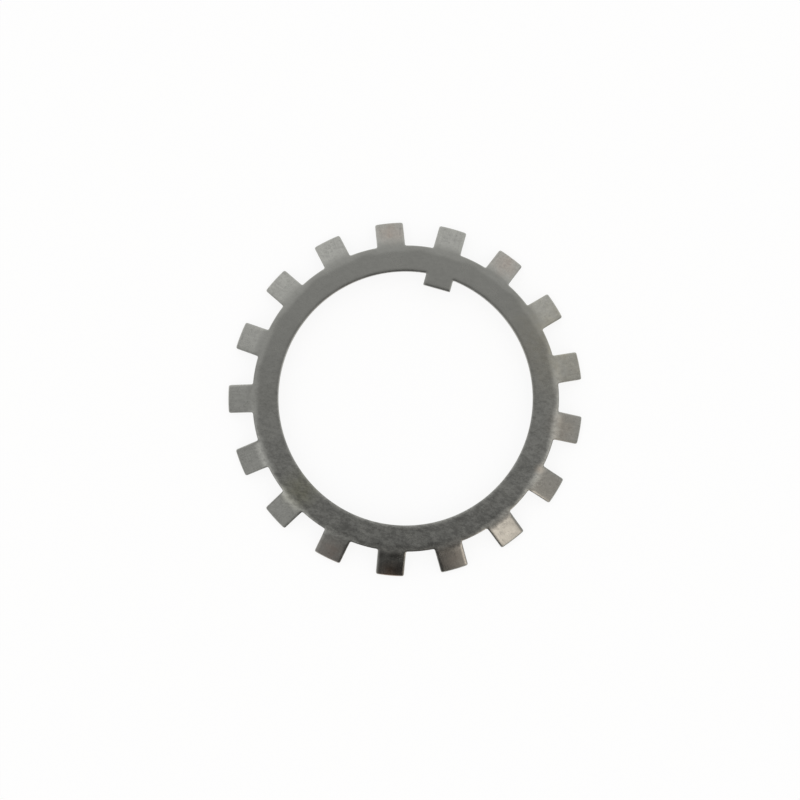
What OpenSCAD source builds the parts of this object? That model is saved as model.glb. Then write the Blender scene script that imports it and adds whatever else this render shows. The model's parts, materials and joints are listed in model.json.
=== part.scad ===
// Tab washer for a bearing's lock nut, punched from sheet steel.
// The bore keeps one tongue, which runs in the shaft's keyway, and the rim keeps a ring of tabs.
// All the tabs are pressed down over a cone, and one of them is later bent into a slot of the nut.
// The washer lies on the tips of its tabs: Z = 0 is that surface, the axis is Z and the tongue is at +Y.

/* [Ring] */
// Bore, which slips over the thread of the shaft
bore_d = 75; // [66:0.5:80]
// Outside of the ring, between the tabs
ring_d = 90.4; // [86:0.1:96]
// Thickness of the sheet
sheet_t = 1.5; // [1:0.1:2]

/* [Tabs] */
// Number of tabs, odd so that a small turn of the nut brings a slot to a tab
tab_count = 17; // [9:2:21]
// Width of a tab
tab_w = 8.3; // [6:0.1:9.5]
// Diameter over the tips of the bent tabs
over_tabs_d = 105.1; // [100:0.1:112]
// Angle of the tabs below the ring
bend_angle = 27; // [15:1:45]
// Inside radius of the bend
bend_r = 7.3; // [2:0.1:9]
// How far inside the ring's edge the bend begins
bend_inset = 2.1; // [0.5:0.1:3]
// Radius of the corners at the tip of a tab
tab_corner_r = 0.55; // [0.2:0.05:1.5]
// Radius in the corners between a tab and the ring
tab_root_r = 0.5; // [0.2:0.05:1.5]

/* [Tongue] */
// Width of the tongue, a sliding fit in the keyway
tongue_w = 8.2; // [6:0.1:10]
// How far the tongue reaches into the bore
tongue_len = 3.8; // [2:0.1:6]
// Radius of the corners at the tip of the tongue
tongue_corner_r = 0.25; // [0.1:0.05:1]
// Radius in the corners between the tongue and the bore
tongue_root_r = 0.35; // [0.1:0.05:1]

/* [Hidden] */
$fn = 96;

steel = "#77766f";
bore_r = bore_d / 2;
ring_r = ring_d / 2;
tip_r = over_tabs_d / 2;
tab_pitch = 360 / tab_count;

// The bend: its centre lies below the ring, and the tab's leg leaves it at the bend angle.
bend_start_r = ring_r - bend_inset;
upper_bend_r = bend_r + sheet_t;
leg_len = (tip_r - bend_start_r - upper_bend_r * sin(bend_angle)) / cos(bend_angle);
ring_z = bend_r * (1 - cos(bend_angle)) + leg_len * sin(bend_angle);

// Punches run past the sheet by this much.
clear = 2 * sheet_t;
// Share of its radius by which a corner's round runs into the edge that it blends with.
overrun = 0.04;
// Steps in the round of a bend or a corner.
round_steps = 6;

function unit(v) = v / norm(v);
function direction(v) = atan2(v[1], v[0]);
function arc(centre, r, from, to) =
    [for (i = [0:round_steps])
        let (a = from + (to - from) * i / round_steps) centre + r * [cos(a), sin(a)]];
function turned(points, a) =
    [for (p = points) [p[0] * cos(a) - p[1] * sin(a), p[0] * sin(a) + p[1] * cos(a)]];
function mirrored(points) =
    [for (i = [len(points) - 1:-1:0]) [points[i][0], -points[i][1]]];

// Half the section of the pressed disc: flat, then round the bend, then down the cone to the tip.
module pressed_section() {
    bend_centre = [bend_start_r, ring_z - bend_r];
    leg = leg_len * [cos(bend_angle), -sin(bend_angle)];
    upper = arc(bend_centre, upper_bend_r, 90, 90 - bend_angle);
    lower = arc(bend_centre, bend_r, 90 - bend_angle, 90);
    polygon(concat(
        [[0, ring_z + sheet_t]],
        upper,
        [upper[round_steps] + leg, lower[0] + leg],
        lower,
        [[0, ring_z]]
    ));
}

// One edge of the gap beside a tab that lies along X, at the tab's -Y side:
// from inside the ring, round the root, along the tab, round the tip's corner and out past the tip.
function gap_edge() =
    let (
        half_w = tab_w / 2,
        root_y = -half_w - tab_root_r,
        root = [sqrt(pow(ring_r + (1 - overrun) * tab_root_r, 2) - root_y * root_y), root_y],
        corner_y = tab_corner_r - half_w,
        corner = [sqrt(pow(tip_r - (1 - overrun) * tab_corner_r, 2) - corner_y * corner_y), corner_y]
    )
    concat(
        [(ring_r - clear) * unit(root)],
        arc(root, tab_root_r, 180 + direction(root), 90),
        arc(corner, tab_corner_r, -90, direction(corner)),
        [(tip_r + 2 * clear) * unit(corner)]
    );

// The waste that is punched out between two tabs, centred on X.
module gap_outline() {
    edge = turned(gap_edge(), tab_pitch / 2);
    difference() {
        polygon(concat(edge, mirrored(edge)));
        circle(ring_r);
    }
}

// One edge of the tongue along X, at its +Y side: round the tip's corner, along and out into the ring.
function tongue_edge() =
    let (
        half_w = tongue_w / 2,
        corner = [bore_r - tongue_len + tongue_corner_r, half_w - tongue_corner_r],
        root_y = half_w + tongue_root_r,
        root = [sqrt(pow(bore_r - (1 - overrun) * tongue_root_r, 2) - root_y * root_y), root_y]
    )
    concat(
        arc(corner, tongue_corner_r, 180, 90),
        arc(root, tongue_root_r, -90, direction(root)),
        [(bore_r + clear) * unit(root)]
    );

// The bore as the punch cuts it, round the tongue.
module bore_outline() {
    edge = tongue_edge();
    difference() {
        circle(bore_r);
        rotate(90)
            polygon(concat(edge, mirrored(edge)));
    }
}

module tab_washer() {
    color(steel)
        difference() {
            rotate_extrude()
                pressed_section();
            for (i = [1:tab_count])
                rotate(90 + (i - 0.5) * tab_pitch)
                    translate([0, 0, -clear])
                        linear_extrude(ring_z + sheet_t + 2 * clear)
                            gap_outline();
            translate([0, 0, ring_z - clear])
                linear_extrude(sheet_t + 2 * clear)
                    bore_outline();
        }
}

tab_washer();
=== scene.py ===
import json
import math
from collections import namedtuple

import bpy
import numpy as np
from mathutils import Matrix, Vector


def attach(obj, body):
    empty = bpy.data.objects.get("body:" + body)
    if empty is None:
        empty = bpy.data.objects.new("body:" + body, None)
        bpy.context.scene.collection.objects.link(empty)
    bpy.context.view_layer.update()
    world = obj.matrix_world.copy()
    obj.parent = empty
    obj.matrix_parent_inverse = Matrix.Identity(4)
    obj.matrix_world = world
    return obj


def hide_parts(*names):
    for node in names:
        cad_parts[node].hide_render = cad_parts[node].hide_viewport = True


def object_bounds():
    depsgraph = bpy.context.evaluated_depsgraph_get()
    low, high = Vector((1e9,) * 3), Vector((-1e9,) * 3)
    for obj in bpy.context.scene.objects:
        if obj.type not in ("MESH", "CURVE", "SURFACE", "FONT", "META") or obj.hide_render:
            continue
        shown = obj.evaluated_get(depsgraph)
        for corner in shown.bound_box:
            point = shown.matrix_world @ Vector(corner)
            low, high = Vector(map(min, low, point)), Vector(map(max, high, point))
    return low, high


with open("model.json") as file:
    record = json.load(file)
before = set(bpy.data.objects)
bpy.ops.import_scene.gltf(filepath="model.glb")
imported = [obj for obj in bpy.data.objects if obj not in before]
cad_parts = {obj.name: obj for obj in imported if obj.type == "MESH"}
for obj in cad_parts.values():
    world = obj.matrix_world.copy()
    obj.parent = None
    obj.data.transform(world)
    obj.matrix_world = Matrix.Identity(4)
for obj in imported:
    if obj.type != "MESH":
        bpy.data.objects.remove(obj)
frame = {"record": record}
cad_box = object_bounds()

# Lengths are in millimetres until a mesh is written, in metres.
MM = 0.001

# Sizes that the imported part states
mounts = {mount["name"]: mount for mount in frame["record"]["mounts"]}
BORE_R = mounts["keyed_bore"]["dims"]["r_mm"]
TOP_Z = mounts["bearing_face"]["pos_m"][2] / MM
SHEET_T = TOP_Z - mounts["nut_face"]["pos_m"][2] / MM
TIP_R = cad_box[1][1] / MM

# The punched outline. A lug is a tab, which stands outwards from the ring (side 1), or the tongue, which
# stands inwards from the bore (side -1).
Lug = namedtuple("Lug", "circle_r side half_w corner_r root_r")
TAB_COUNT = 17
TAB_PITCH = 2 * math.pi / TAB_COUNT
RING_R = 45.2
TAB = Lug(RING_R, 1, half_w=4.15, corner_r=0.55, root_r=0.5)
TONGUE = Lug(BORE_R, -1, half_w=4.1, corner_r=0.25, root_r=0.35)
TONGUE_TIP_R = BORE_R - 3.8

# The pressed bend
BEND_ANGLE = math.radians(27)
BEND_START_R = RING_R - 2.1
UPPER_BEND_R = 7.3 + SHEET_T
# Between two tabs the ring is stiffer, so that its bend starts this much farther out, and the change from
# a tab's side to there takes this far.
STIFF_RIM = 0.5
STIFF_RIM_WIDTH = 3

# The sheared edges. The punch has rolled the upper face over towards them, most of all beside the tabs, and
# tumbling has broken every corner. Each is the width over which the face sinks and the depth it sinks by.
UPPER_ROLLS = {"rim": (0.7, 0.06), "tab_side": (0.9, 0.12), "tab_tip": (0.5, 0.04), "bore": (0.95, 0.06)}
NO_ROLLS = dict.fromkeys(UPPER_ROLLS, (1, 0))
BREAK_WIDTH = 0.25
BREAK_DEPTH = 0.055
# How far up a tab its side takes to roll over in full
SIDE_START = 2
# The upper share of the wall that the punch sheared clean, and how deep the hollow is where the metal broke
SHEARED_SHARE = 0.35
FRACTURE_DEPTH = 0.04

# Cells of the mesh
TAB_COLUMNS = 28
ROOT_COLUMNS = 4
RIM_COLUMNS = 16
RING_ROWS = 30
TAB_ROWS = 22
TONGUE_ROWS = 14
WALL_ROWS = 6

# The photograph's camera, as turned from the part's own axes
VIEW_TURN = math.radians(15.71)
CAMERA_DISTANCE = 506.5
CAMERA_LEAN_DOWN = math.radians(3.03)
CAMERA_LEAN_LEFT = math.radians(0.41)
CAMERA_LENS = 77.44
CAMERA_SENSOR = 36
CAMERA_SHIFT = (-0.0071, -0.00275)


def linear(hex_colour):
    """An sRGB hex colour as the linear RGBA that the shaders take."""
    srgb = np.array([int(hex_colour[i:i + 2], 16) for i in (1, 3, 5)]) / 255
    rgb = np.where(srgb <= 0.04045, srgb / 12.92, ((srgb + 0.055) / 1.055) ** 2.4)
    return (*rgb.tolist(), 1.0)


def direction(tilt, azimuth):
    """The unit vector that leans tilt degrees from straight up towards an azimuth, both in degrees."""
    tilt, azimuth = math.radians(tilt), math.radians(azimuth) + VIEW_TURN
    return (math.sin(tilt) * math.cos(azimuth), math.sin(tilt) * math.sin(azimuth), math.cos(tilt))


def add(tree, kind, inputs=(), **settings):
    """Adds a node with its settings; an input that is a socket is linked, and any other is set."""
    node = tree.nodes.new(kind)
    for name, value in settings.items():
        setattr(node, name, value)
    for key, value in dict(inputs).items():
        if isinstance(value, bpy.types.NodeSocket):
            tree.links.new(value, node.inputs[key])
        else:
            node.inputs[key].default_value = value
    return node


def crowded(count, ends):
    """Shares from 0 to 1 that lie closer together at both ends, or at the last end alone.
    They are a mix of even steps and of a cosine's, so no step gets too small."""
    even = np.linspace(0, 1, count + 1)
    eased = (1 - np.cos(math.pi * even)) / 2 if ends == "both" else np.sin(math.pi / 2 * even)
    return 0.25 * even + 0.75 * eased


def root_centre(lug):
    """Centre of the small round between a lug and its circle: it lies the round's radius off both."""
    across = lug.half_w + lug.root_r
    return math.sqrt((lug.circle_r + lug.side * lug.root_r) ** 2 - across ** 2), across


def outline_distance(along, across, lug):
    """How far a point lies from the outline round a lug, its tip left out.
    In the lug its side is nearest, past the root's round the circle, and between them the round itself."""
    centre_along, centre_across = root_centre(lug)
    in_lug = (lug.side * (along - centre_along) >= 0) & (across < centre_across) & (along > 0)
    past_root = np.arctan2(across, along) >= math.atan2(centre_across, centre_along)
    return np.select(
        [in_lug, past_root],
        [lug.half_w - across, lug.side * (lug.circle_r - np.hypot(along, across))],
        np.hypot(along - centre_along, across - centre_across) - lug.root_r,
    )


def nearest_tab(xy):
    """Plan points as lengths along and across the nearest tab: each is turned back by whole pitches."""
    r = np.hypot(xy[..., 0], xy[..., 1])
    turn = np.arctan2(xy[..., 1], xy[..., 0]) - math.pi / 2
    turn = (turn + TAB_PITCH / 2) % TAB_PITCH - TAB_PITCH / 2
    return r * np.cos(turn), abs(r * np.sin(turn))


def edge_sink(xy, rolls):
    """Depth by which a face sinks towards the outline. Each edge adds depth (1 - distance / width) squared
    where it lies closer than the width, for its roll and for its broken corner, so that a tab's corner
    sinks most."""
    r = np.hypot(xy[..., 0], xy[..., 1])
    up_tab = np.clip((r - RING_R) / SIDE_START, 0, 1)[..., None]
    side = rolls["rim"] + up_tab * np.subtract(rolls["tab_side"], rolls["rim"])
    to_tongue_tip = np.where(abs(xy[..., 0]) <= TONGUE.half_w, abs(xy[..., 1] - TONGUE_TIP_R), BORE_R)
    near = (
        (outline_distance(*nearest_tab(xy), TAB), *side.T),
        (outline_distance(xy[..., 1], abs(xy[..., 0]), TONGUE), *rolls["bore"]),
        (TIP_R - r, *rolls["tab_tip"]),
        (to_tongue_tip, *rolls["bore"]),
    )
    return sum(
        depth * np.clip(1 - distance / width, 0, None) ** 2
        + BREAK_DEPTH * np.clip(1 - distance / BREAK_WIDTH, 0, None) ** 2
        for distance, width, depth in near
    )


def pressed(xy, sink):
    """A point of the flat plan on the pressed sheet, sunk below its upper face along the sheet's normal.
    That face is flat up to the bend, falls by R (1 - cos a) round it, with sin a = (r - start) / R, and
    runs down a cone of the bend's angle beyond it. Between the tabs the bend starts farther out."""
    r = np.hypot(xy[..., 0], xy[..., 1])
    off_tab = np.clip((nearest_tab(xy)[1] - TAB.half_w) / STIFF_RIM_WIDTH, 0, 1)
    past_start = r - BEND_START_R - STIFF_RIM * off_tab ** 2 * (3 - 2 * off_tab)
    lean = np.arcsin(np.clip(past_start / UPPER_BEND_R, 0, math.sin(BEND_ANGLE)))
    past_bend = np.maximum(past_start - UPPER_BEND_R * math.sin(BEND_ANGLE), 0)
    fall = UPPER_BEND_R * (1 - np.cos(lean)) + math.tan(BEND_ANGLE) * past_bend
    plan = xy * (1 - sink * np.sin(lean) / r)[..., None]
    return np.concatenate([plan, (TOP_Z - fall - sink * np.cos(lean))[..., None]], axis=-1)


def ruled(start, end, shares):
    """The grid of points that lie at each share of the way from one line of points to another."""
    return start + shares[:, None, None] * (end - start)


def turned(points, angle):
    """Plan points, given along and across a tab, turned to where that tab lies."""
    along, across = points[..., 0], points[..., 1]
    return np.stack([along * np.cos(angle) - across * np.sin(angle),
                     along * np.sin(angle) + across * np.cos(angle)], axis=-1)


def root_round(lug):
    """Points of a root's round from the lug's side to the circle, as an arc about the root's centre."""
    centre = root_centre(lug)
    end = math.atan2(centre[1], centre[0]) + (math.pi if lug.side > 0 else 0)
    start = -math.pi / 2 + (2 * math.pi if lug.side > 0 else 0)
    angle = np.linspace(start, end, ROOT_COLUMNS + 1)
    return np.add(centre, lug.root_r * np.stack([np.cos(angle), np.sin(angle)], axis=-1))


def bore_start():
    """Points of the plain bore beside a tab that has no tongue, as many as a root's round has."""
    angle = math.asin(TAB.half_w / BORE_R) * np.linspace(1, 1.1, ROOT_COLUMNS + 1)
    return BORE_R * np.stack([np.cos(angle), np.sin(angle)], axis=-1)


def between_tabs(first, last, circle_r):
    """The outline from one tab's side to the next one's: a round, the circle, and the next tab's round.
    Both rounds are given for a tab along X, and the second is mirrored and turned by one pitch."""
    last = turned(last[::-1] * (1, -1), TAB_PITCH)
    start = math.atan2(first[-1, 1], first[-1, 0])
    end = math.atan2(last[0, 1], last[0, 0])
    angle = np.linspace(start, end, RIM_COLUMNS + 1)[1:-1]
    circle = circle_r * np.stack([np.cos(angle), np.sin(angle)], axis=-1)
    return np.concatenate([first, circle, last])


def across_lug(lug, radius):
    """Points on an arc across a lug, from its one side to the other, closer together at the sides."""
    across = lug.half_w * (2 * crowded(TAB_COLUMNS, "both") - 1)
    return np.stack([np.sqrt(radius ** 2 - across ** 2), across], axis=-1)


def rounded_end(lug, tip, across):
    """The end of a lug: its tip's line, with a round at each of its corners."""
    into_corner = np.clip(abs(across) - (lug.half_w - lug.corner_r), 0, lug.corner_r)
    back = lug.corner_r - np.sqrt(lug.corner_r ** 2 - into_corner ** 2)
    return np.stack([tip - lug.side * back, across], axis=-1)


def washer_plan():
    """The flat plan as grids of points: the ring, then each tab, then the tongue. Each grid is ruled between
    its inner line and its outer one, and neighbours share the line between them."""
    tab_root = root_round(TAB)
    tongue_root = root_round(TONGUE)
    bore_side = bore_start()
    root_line = across_lug(TAB, np.hypot(*tab_root[0]))
    tongue_line = across_lug(TONGUE, np.hypot(*tongue_root[0]))
    bore_line = across_lug(TAB, BORE_R)
    angles = math.pi / 2 + TAB_PITCH * np.arange(TAB_COUNT)

    inner, outer = [], []
    for k, angle in enumerate(angles):
        first = tongue_root if k == 0 else bore_side
        last = tongue_root if k == TAB_COUNT - 1 else bore_side
        line = tongue_line if k == 0 else bore_line
        inner += [turned(line, angle), turned(between_tabs(first, last, BORE_R), angle)[1:-1]]
        outer += [turned(root_line, angle), turned(between_tabs(tab_root, tab_root, RING_R), angle)[1:-1]]
    inner, outer = (np.concatenate(line + line[:1])[:-TAB_COLUMNS] for line in (inner, outer))
    grids = [ruled(inner, outer, crowded(RING_ROWS, "both"))]

    tab = ruled(root_line, rounded_end(TAB, *across_lug(TAB, TIP_R).T), crowded(TAB_ROWS, "last"))
    grids += [turned(tab, angle) for angle in angles]
    tongue_tip = rounded_end(TONGUE, TONGUE_TIP_R, tongue_line[:, 1])
    grids.append(turned(ruled(tongue_line, tongue_tip, crowded(TONGUE_ROWS, "last")), angles[0])[::-1])
    return grids


def joined(grids):
    """One list of points and of four-cornered faces from several grids, with points that meet made one."""
    points, faces, count = [], [], 0
    for grid in grids:
        rows, columns = grid.shape[:2]
        index = count + np.arange(rows * columns).reshape(rows, columns)
        corners = index[:-1, :-1], index[1:, :-1], index[1:, 1:], index[:-1, 1:]
        faces.append(np.stack(corners, axis=-1).reshape(-1, 4))
        points.append(grid.reshape(-1, 2))
        count += rows * columns
    points = np.concatenate(points)
    _, first, place = np.unique(np.round(points, 4), axis=0, return_index=True, return_inverse=True)
    return points[first], place.reshape(-1)[np.concatenate(faces)]


def open_edges(faces):
    """The directed edges that only one face has, which run round the outline."""
    edges = np.stack([faces, np.roll(faces, -1, axis=1)], axis=-1).reshape(-1, 2)
    _, place, uses = np.unique(np.sort(edges, axis=1), axis=0, return_inverse=True, return_counts=True)
    return edges[uses[place.reshape(-1)] == 1]


def washer_mesh():
    """The whole washer: the upper face, the lower one with its faces turned over, and the sheared wall
    between them, which is the outline carried down through the sheet with a shallow hollow where the
    metal broke."""
    plan, faces = joined(washer_plan())
    upper = pressed(plan, edge_sink(plan, UPPER_ROLLS))
    lower_sink = SHEET_T - edge_sink(plan, NO_ROLLS)
    lower = pressed(plan, lower_sink)

    edges = open_edges(faces)
    rim, place = np.unique(edges, return_inverse=True)
    place = place.reshape(edges.shape)
    step = plan[edges[:, 1]] - plan[edges[:, 0]]
    normal = np.zeros((len(rim), 2))
    np.add.at(normal, place.reshape(-1), np.repeat(step[:, ::-1] * (-1, 1), 2, axis=0))
    normal /= np.linalg.norm(normal, axis=1, keepdims=True)
    upper_sink = edge_sink(plan[rim], UPPER_ROLLS)

    shares = np.linspace(0, 1, WALL_ROWS + 1)
    into_break = np.clip((shares - SHEARED_SHARE) / (1 - SHEARED_SHARE), 0, 1)
    hollow = FRACTURE_DEPTH * np.sin(math.pi * into_break) ** 2
    sinks = upper_sink + shares[:, None] * (lower_sink[rim] - upper_sink)
    wall = pressed(plan[rim] + hollow[:, None, None] * normal, sinks)

    count = len(plan)
    rows = 2 * count + np.arange((WALL_ROWS - 1) * len(rim)).reshape(WALL_ROWS - 1, len(rim))
    rows = np.concatenate([rim[None], rows, rim[None] + count])
    start, end = rows[:, place[:, 0]], rows[:, place[:, 1]]
    walls = np.stack([start[:-1], start[1:], end[1:], end[:-1]], axis=-1).reshape(-1, 4)

    points = np.concatenate([upper, lower, wall[1:-1].reshape(-1, 3)])
    return points, np.concatenate([faces, faces[:, ::-1] + count, walls]), 2 * len(faces)


def make_washer(sheet, edge):
    """Writes the washer's mesh in metres, with the sheet's material on its faces and the edge's on its
    wall."""
    points, faces, wall_start = washer_mesh()
    mesh = bpy.data.meshes.new("washer")
    mesh.from_pydata(points * MM, [], faces.tolist())
    mesh.materials.append(sheet)
    mesh.materials.append(edge)
    slots = (np.arange(len(faces)) >= wall_start).astype(np.int32)
    mesh.polygons.foreach_set("material_index", slots)
    mesh.shade_smooth()
    mesh.set_sharp_from_angle(angle=math.radians(35))
    mesh.update()
    washer = bpy.data.objects.new("washer", mesh)
    bpy.context.scene.collection.objects.link(washer)
    return washer


# The side of the ring that has worn dull, as an azimuth in the picture, and how far towards it the wear
# starts and is full
WORN_SIDE = 275
WORN_REACH = (-20, 36)
# How far below the ring's top the finish of the tabs starts and is full
BENT_FALL = (0.2, 1.5)
# Sizes of the steel's patterns
STROKE_SIZE = 1.1
STREAK_WIDTH = 0.5
STREAK_LENGTH = 4
SPECK_SIZE = 0.7
CLOUD_SIZE = 9
BLOTCH_SIZE = 2.5
SMEAR_SIZE = 4
DIMPLE_SIZE = 1.2
DIMPLE_DEPTH = 0.006
RIB_WIDTH = 0.2
RIB_DEPTH = 0.02
# Marks on the steel, and two patches of painted warm light on the tabs at the right: where each lies, as its
# azimuth in the picture and its radius, half its width in millimetres, how strong it is and the tint that it
# gives.
MARKS_AND_PAINTED_WARM_LIGHT = {
    "rust_at_dark_tip": (265, 51.8, 2.7, 0.9, "#ffe6d8"),
    "brown_film_left_of_it": (244, 50.5, 3.5, 0.8, "#fff2ee"),
    "brown_film_right_of_it": (287, 49.5, 4.0, 0.3, "#fff2ee"),
    "tan_spot_at_root": (332, 44.5, 1.2, 0.6, "#fff0e4"),
    "oil_on_ring": (221, 41.2, 4.0, 0.7, "#fffee9"),
    # Painted warm light: a warm tint on the tab low at the right.
    "painted_warm_light_right_low": (350, 47.5, 4.0, 0.8, "#fff8f2"),
    # Painted warm light: a broad warm tint on the tab high at the right.
    "painted_warm_light_right_high": (20, 49, 12, 0.9, "#fffbf2"),
    "dull_patch_at_left": (180, 41, 4.0, 0.5, "#f0f0ee"),
    "warm_film_at_back": (95, 49.5, 3.0, 0.8, "#fff3ee"),
    "warm_film_at_back_right": (53, 49.5, 3.0, 0.8, "#fff3ee"),
}


def rolled_sheet_steel():
    # Cold rolled sheet steel, tumbled after punching and left with a film of oil: a plain grey metal, faintly
    # clouded. The ring is mottled with short dark strokes along the rolling direction, most of all on its
    # worn side. The tabs have streaks that the press drew out, and a few dark specks. Handling has left faint
    # brown and oily marks, and two warm tints on the tabs at the right are painted warm light. Real strokes
    # and streaks are finer, and are drawn as coarse as they need to show.
    material = bpy.data.materials.new("rolled_sheet_steel")
    material.use_nodes = True
    tree = material.node_tree
    shader = tree.nodes["Principled BSDF"]
    place = add(tree, "ShaderNodeTexCoord").outputs["Object"]

    x, y, z = add(tree, "ShaderNodeSeparateXYZ", {0: place}).outputs
    bent = add(tree, "ShaderNodeMapRange", {
        "Value": z, "From Min": (TOP_Z - BENT_FALL[0]) * MM, "From Max": (TOP_Z - BENT_FALL[1]) * MM,
    }).outputs["Result"]
    towards_worn_side = add(tree, "ShaderNodeVectorMath", {0: place, 1: direction(90, WORN_SIDE)},
                            operation="DOT_PRODUCT")
    worn = add(tree, "ShaderNodeMapRange", {
        "Value": towards_worn_side.outputs["Value"],
        "From Min": WORN_REACH[0] * MM, "From Max": WORN_REACH[1] * MM, "To Min": 0.16, "To Max": 1.1,
    })
    patchy = add(tree, "ShaderNodeMix", {0: bent, 2: worn.outputs["Result"], 3: 0.3}).outputs[0]

    rolled = add(tree, "ShaderNodeMapping", {
        "Vector": place, "Rotation": (0, 0, -VIEW_TURN), "Scale": (0.7, 1.15, 1),
    })
    mottle = add(tree, "ShaderNodeTexNoise", {
        "Vector": rolled.outputs["Vector"], "Scale": 1 / (STROKE_SIZE * MM), "Detail": 2, "Roughness": 0.8,
    })
    mottle = add(tree, "ShaderNodeMapRange", {
        "Value": mottle.outputs["Fac"], "From Min": 0.3, "From Max": 0.6, "To Min": -0.85, "To Max": 0.3,
    })
    around = add(tree, "ShaderNodeMath", {0: y, 1: x}, operation="ARCTAN2")
    out = add(tree, "ShaderNodeVectorMath", {0: place}, operation="LENGTH")
    polar = add(tree, "ShaderNodeCombineXYZ", {0: around.outputs[0], 1: out.outputs["Value"]})
    drawn = add(tree, "ShaderNodeMapping", {
        "Vector": polar.outputs[0], "Scale": (RING_R / STREAK_WIDTH, 1 / (STREAK_LENGTH * MM), 1),
    })
    streaks = add(tree, "ShaderNodeTexNoise", {"Vector": drawn.outputs["Vector"], "Scale": 1, "Detail": 3})
    streaks = add(tree, "ShaderNodeMapRange", {
        "Value": streaks.outputs["Fac"], "From Min": 0.25, "From Max": 0.75, "To Min": -0.2, "To Max": 0.2,
    })
    cloud = add(tree, "ShaderNodeTexNoise", {"Vector": place, "Scale": 1 / (CLOUD_SIZE * MM), "Detail": 3})
    cloud = add(tree, "ShaderNodeMapRange", {
        "Value": cloud.outputs["Fac"], "From Min": 0.25, "From Max": 0.75, "To Min": 0.45, "To Max": 0.61,
    })
    light = add(tree, "ShaderNodeMath", {
        0: mottle.outputs["Result"], 1: patchy, 2: cloud.outputs["Result"],
    }, operation="MULTIPLY_ADD")
    specks = add(tree, "ShaderNodeTexNoise", {"Vector": place, "Scale": 1 / (SPECK_SIZE * MM), "Detail": 1})
    specks = add(tree, "ShaderNodeMapRange", {
        "Value": specks.outputs["Fac"], "From Min": 0.62, "From Max": 0.8, "To Max": -0.7,
    })
    scuffed = add(tree, "ShaderNodeMath", {0: streaks.outputs["Result"], 1: specks.outputs["Result"]})
    light = add(tree, "ShaderNodeMath", {0: scuffed.outputs[0], 1: bent, 2: light.outputs[0]},
                operation="MULTIPLY_ADD")
    steel = add(tree, "ShaderNodeMix", {
        0: light.outputs[0], 6: linear("#9f9f9a"), 7: linear("#bfbfb9"),
    }, data_type="RGBA").outputs[2]

    blotch = add(tree, "ShaderNodeTexNoise", {"Vector": place, "Scale": 1 / (BLOTCH_SIZE * MM), "Detail": 2})
    # Each entry tints the steel: most are marks, and two are painted warm light on the tabs at the right.
    for azimuth, radius, half_width, strength, tint in MARKS_AND_PAINTED_WARM_LIGHT.values():
        spot = pressed(radius * np.array(direction(90, azimuth)[:2]), 0) * MM
        away = add(tree, "ShaderNodeVectorMath", {0: place, 1: spot.tolist()}, operation="DISTANCE")
        cover = add(tree, "ShaderNodeMapRange", {
            "Value": away.outputs["Value"], "From Max": 2 * half_width * MM,
            "To Min": 2 * strength, "To Max": 0,
        }, interpolation_type="SMOOTHSTEP")
        cover = add(tree, "ShaderNodeMath", {0: cover.outputs["Result"], 1: blotch.outputs["Fac"]},
                    operation="MULTIPLY")
        steel = add(tree, "ShaderNodeMix", {0: cover.outputs[0], 6: steel, 7: linear(tint)},
                    data_type="RGBA", blend_type="MULTIPLY").outputs[2]
    tree.links.new(steel, shader.inputs["Base Color"])

    smear = add(tree, "ShaderNodeTexNoise", {"Vector": place, "Scale": 1 / (SMEAR_SIZE * MM), "Detail": 2})
    dull = add(tree, "ShaderNodeMapRange", {
        "Value": smear.outputs["Fac"], "From Min": 0.3, "From Max": 0.7, "To Min": 0.2, "To Max": 0.28,
    })
    tree.links.new(dull.outputs["Result"], shader.inputs["Roughness"])

    dimples = add(tree, "ShaderNodeTexNoise", {"Vector": place, "Scale": 1 / (DIMPLE_SIZE * MM), "Detail": 2})
    bump = add(tree, "ShaderNodeBump", {"Height": dimples.outputs["Fac"], "Distance": DIMPLE_DEPTH * MM})
    tree.links.new(bump.outputs["Normal"], shader.inputs["Normal"])
    shader.inputs["Metallic"].default_value = 1.0
    return material


def sheared_steel_edge():
    # Steel as the punch left it: a little darker and duller than the sheet's face, and ribbed through the
    # sheet's thickness. Real ribs are finer, and are drawn as coarse as they need to show.
    material = bpy.data.materials.new("sheared_steel_edge")
    material.use_nodes = True
    tree = material.node_tree
    shader = tree.nodes["Principled BSDF"]
    place = add(tree, "ShaderNodeTexCoord").outputs["Object"]
    along = add(tree, "ShaderNodeMapping", {"Vector": place, "Scale": (1, 1, 0.1)})
    ribs = add(tree, "ShaderNodeTexNoise", {
        "Vector": along.outputs["Vector"], "Scale": 1 / (RIB_WIDTH * MM),
    })
    steel = add(tree, "ShaderNodeMix", {
        0: ribs.outputs["Fac"], 6: linear("#86857f"), 7: linear("#aaa8a2"),
    }, data_type="RGBA")
    tree.links.new(steel.outputs[2], shader.inputs["Base Color"])
    bump = add(tree, "ShaderNodeBump", {"Height": ribs.outputs["Fac"], "Distance": RIB_DEPTH * MM})
    tree.links.new(bump.outputs["Normal"], shader.inputs["Normal"])
    shader.inputs["Metallic"].default_value = 1.0
    shader.inputs["Roughness"].default_value = 0.34
    return material


# The table's sizes in metres. Its rim is low enough to hide little of the tent from the metal, and high
# enough to fill the picture behind the washer when the camera looks from the side.
TABLE_R = 5.0
SWEEP_START_R = 1.0
SWEEP_RISE = 1.05
TABLE_CELLS = 48
# The share of the table's look that is plain white: the rest is paint that takes the shadow.
TABLE_GLOW = 0.85


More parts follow.
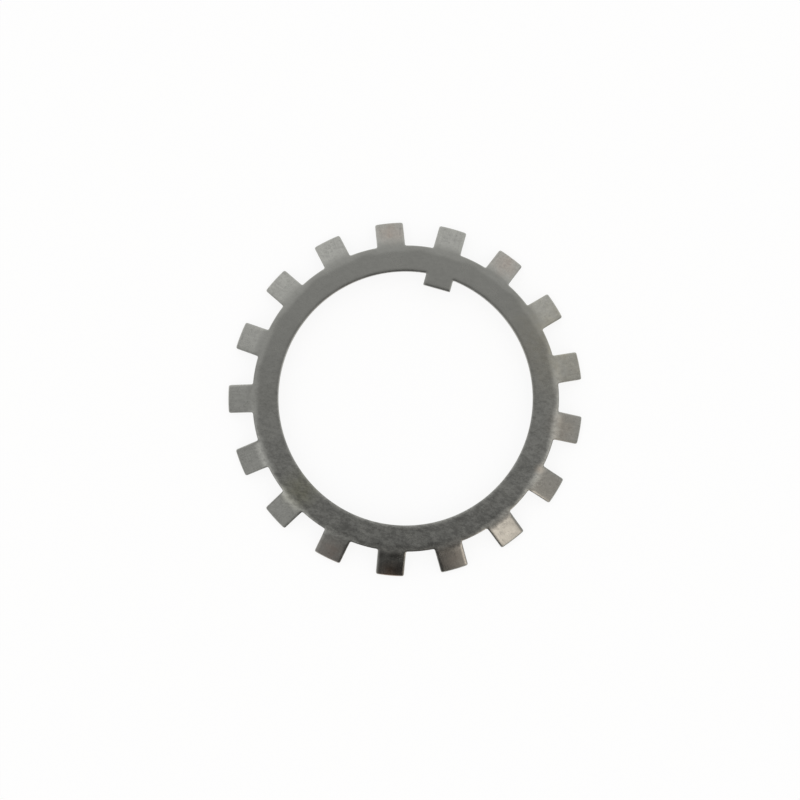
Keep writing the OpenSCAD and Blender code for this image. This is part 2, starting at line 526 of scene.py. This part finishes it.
def white_table():
    # A matt white table: it shows white to the camera and to the metal, and takes a faint shadow.
    material = bpy.data.materials.new("white_table")
    material.use_nodes = True
    tree = material.node_tree
    tree.nodes.clear()
    paint = add(tree, "ShaderNodeBsdfDiffuse", {"Color": linear("#f8f8f8")})
    glow = add(tree, "ShaderNodeEmission", {"Strength": 1.0})
    light = add(tree, "ShaderNodeLightPath")
    seen = add(tree, "ShaderNodeMath", {
        0: light.outputs["Is Camera Ray"], 1: light.outputs["Is Glossy Ray"],
    }, operation="MAXIMUM")
    seen = add(tree, "ShaderNodeMath", {0: seen.outputs[0], 1: light.outputs["Is Transmission Ray"]},
               operation="MAXIMUM")
    share = add(tree, "ShaderNodeMath", {0: seen.outputs[0], 1: TABLE_GLOW}, operation="MULTIPLY")
    mix = add(tree, "ShaderNodeMixShader", {0: share.outputs[0], 1: paint.outputs[0], 2: glow.outputs[0]})
    add(tree, "ShaderNodeOutputMaterial", {"Surface": mix.outputs[0]})
    return material


def make_table():
    """A round table that sweeps up all round as its own backdrop. A square grid is drawn in to a disc: each
    point moves along its radius until it lies max(|x|, |y|) from the middle. The table is flat up to the
    sweep, which rises by rise ((r - start) / (end - start)) squared."""
    line = np.linspace(-TABLE_R, TABLE_R, TABLE_CELLS + 1)
    x, y = np.meshgrid(line, line, indexing="ij")
    drawn_in = np.maximum(abs(x), abs(y)) / np.maximum(np.hypot(x, y), MM)
    points, faces = joined([np.stack([x * drawn_in, y * drawn_in], axis=-1)])
    up_sweep = (np.hypot(points[:, 0], points[:, 1]) - SWEEP_START_R) / (TABLE_R - SWEEP_START_R)
    mesh = bpy.data.meshes.new("table")
    mesh.from_pydata(np.c_[points, SWEEP_RISE * np.clip(up_sweep, 0, 1) ** 2], [], faces.tolist())
    mesh.shade_smooth()
    mesh.materials.append(white_table())
    table = bpy.data.objects.new("table", mesh)
    bpy.context.scene.collection.objects.link(table)
    return table


# Patches of the light tent that differ from its white wall: where each lies, as its lean from straight up
# and its azimuth in the picture, half its width, all in degrees, and how far it darkens or brightens
# the wall.
DARK_PATCHES = {
    "camera_opening": (8, 277, 11, 1.0),
    "front_opening": (51, 275, 37, 1.0),
    "left_wall": (44, 182, 25, 0.55),
    "right_wall": (54, 346, 54, 0.27),
    "back_wall": (36, 91, 24, 0.35),
    "back_corner": (30, 44, 11, 0.3),
    "front_left_floor": (88, 200, 20, 0.7),
    "front_right_floor": (89, 359, 20, 0.7),
}
LIGHT_PATCHES = {
    "left_panel": (38, 207, 11, 0.6),
    "right_panel": (31, 345, 12, 0.5),
    "lamp": (54, 306, 8, 1.9),
}
# Round the lamp the light is warmer than the tent's: its lean, azimuth and half its width, in degrees
WARM_SIDE = (56, 305, 24)


def make_light_tent():
    """A white tent round the washer, with soft round patches exp(k (cos angle - 1)) that darken or light
    it, where k = ln 2 / (1 - cos half width) makes a patch half as strong there."""
    world = bpy.data.worlds.new("light_tent")
    world.use_nodes = True
    tree = world.node_tree
    ray = add(tree, "ShaderNodeTexCoord").outputs["Generated"]

    def patch(tilt, azimuth, half_width):
        sharpness = math.log(2) / (1 - math.cos(math.radians(half_width)))
        facing = add(tree, "ShaderNodeVectorMath", {0: ray, 1: direction(tilt, azimuth)},
                     operation="DOT_PRODUCT")
        power = add(tree, "ShaderNodeMath", {0: facing.outputs["Value"], 1: sharpness, 2: -sharpness},
                    operation="MULTIPLY_ADD")
        return add(tree, "ShaderNodeMath", {0: power.outputs[0]}, operation="EXPONENT").outputs[0]

    level = 1.0
    for tilt, azimuth, half_width, depth in DARK_PATCHES.values():
        left = add(tree, "ShaderNodeMath", {0: patch(tilt, azimuth, half_width), 1: -depth, 2: 1.0},
                   operation="MULTIPLY_ADD")
        level = add(tree, "ShaderNodeMath", {0: left.outputs[0], 1: level}, operation="MULTIPLY").outputs[0]
    for tilt, azimuth, half_width, gain in LIGHT_PATCHES.values():
        level = add(tree, "ShaderNodeMath", {0: patch(tilt, azimuth, half_width), 1: gain, 2: level},
                    operation="MULTIPLY_ADD").outputs[0]
    colour = add(tree, "ShaderNodeMix", {0: patch(*WARM_SIDE), 6: linear("#ffffff"), 7: linear("#fff4ea")},
                 data_type="RGBA")
    # The table gets the even light of a whole tent, so that it stays white but for the washer's shadow.
    lighting = add(tree, "ShaderNodeLightPath").outputs["Is Diffuse Ray"]
    level = add(tree, "ShaderNodeMix", {0: lighting, 2: level, 3: 1.0}).outputs[0]
    tree.links.new(level, tree.nodes["Background"].inputs["Strength"])
    tree.links.new(colour.outputs[2], tree.nodes["Background"].inputs["Color"])
    bpy.context.scene.world = world


def make_camera():
    """A camera that looks down on the ring's upper face, leaning a little, with the picture's own up."""
    right_lean, up_lean = -math.sin(CAMERA_LEAN_LEFT), -math.sin(CAMERA_LEAN_DOWN)
    away = Vector((right_lean, up_lean, math.sqrt(1 - right_lean ** 2 - up_lean ** 2)))
    right = Vector((0, 1, 0)).cross(away).normalized()
    axes = Matrix((right, away.cross(right), away)).transposed()
    axes = Matrix.Rotation(VIEW_TURN, 3, "Z") @ axes
    data = bpy.data.cameras.new("camera")
    data.lens = CAMERA_LENS
    data.sensor_width = CAMERA_SENSOR
    data.shift_x, data.shift_y = CAMERA_SHIFT
    data.clip_start = 0.01
    camera = bpy.data.objects.new("camera", data)
    centre = Vector((0, 0, TOP_Z * MM))
    camera.matrix_world = Matrix.LocRotScale(centre + axes.col[2] * CAMERA_DISTANCE * MM, axes, None)
    bpy.context.scene.collection.objects.link(camera)
    bpy.context.scene.camera = camera


bpy.context.scene.view_settings.view_transform = "Standard"
make_camera()
make_light_tent()
make_table()

washer = make_washer(rolled_sheet_steel(), sheared_steel_edge())
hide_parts("tab_washer")
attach(washer, "root")
